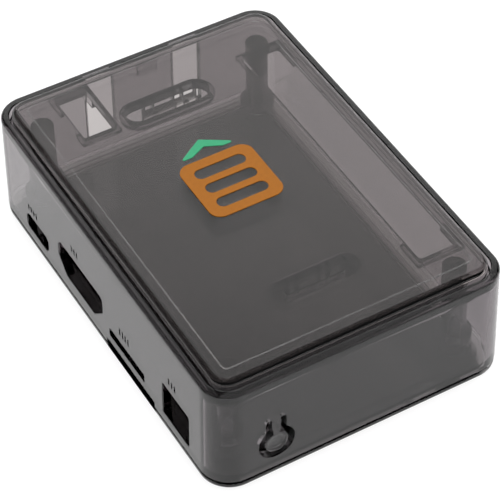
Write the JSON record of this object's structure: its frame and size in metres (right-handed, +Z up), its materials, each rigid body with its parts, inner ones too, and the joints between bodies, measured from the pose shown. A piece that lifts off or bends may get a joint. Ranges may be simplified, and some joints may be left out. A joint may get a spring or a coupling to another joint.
{
  "type": "single board computer enclosure",
  "caption": "Smoke-tinted clear moulded enclosure for a small single board computer, with a lift-off lid, side ports, a screwed bottom cover and a flexing power button.",
  "frame": {"origin": "centre of the case's footprint, on the face it rests on", "axes": "+X along the length towards the short wall with the power button, -X towards the upright ports, -Y towards the long wall with the power, card, video and data ports, +Z up through the lid"},
  "size_m": [0.0784, 0.0548, 0.0228],
  "materials": {
    "smoke_shell": "polished, smoke tinted, transparent",
    "smoke_cover": "polished, dark smoke tinted",
    "smoke_lid": "polished, smoke tinted, transparent",
    "print_orange": "satin ink printed on the lid",
    "print_green": "satin ink printed on the lid",
    "screw_steel": "machined"
  },
  "bodies": {
    "case": {"bottom_cover": "smoke_cover", "upper_shell": "smoke_shell", "case_screw_front_left": "screw_steel", "case_screw_front_right": "screw_steel", "case_screw_rear_right": "screw_steel", "case_screw_rear_left": "screw_steel"},
    "lid": {"lid_panel": "smoke_lid", "lid_print_square": "print_orange", "lid_print_chevron": "print_green"},
    "latch_far": {"lid_latch_far": "smoke_lid"},
    "latch_near": {"lid_latch_near": "smoke_lid"},
    "button": {"power_button": "smoke_shell"}
  },
  "joints": [
    {"name": "lid_lift", "type": "slide", "parent": "case", "child": "lid", "axis": [0, 0, 1], "range_m": [0, 0.03]},
    {"name": "latch_far_flex", "type": "hinge", "parent": "lid", "child": "latch_far", "pos_m": [-0.026, 0.0005, 0.0208], "axis": [0, -1, 0], "range_deg": [0, 5], "stiffness_Nm_per_rad": 0.02},
    {"name": "latch_near_flex", "type": "hinge", "parent": "lid", "child": "latch_near", "pos_m": [0.0225, 0.00045, 0.0208], "axis": [0, -1, 0], "range_deg": [0, 5], "stiffness_Nm_per_rad": 0.02},
    {"name": "power_button_press", "type": "hinge", "parent": "case", "child": "button", "pos_m": [0.0382, -0.0164, 0.01155], "axis": [0, 1, 0], "range_deg": [0, 8], "stiffness_Nm_per_rad": 0.01}
  ]
}
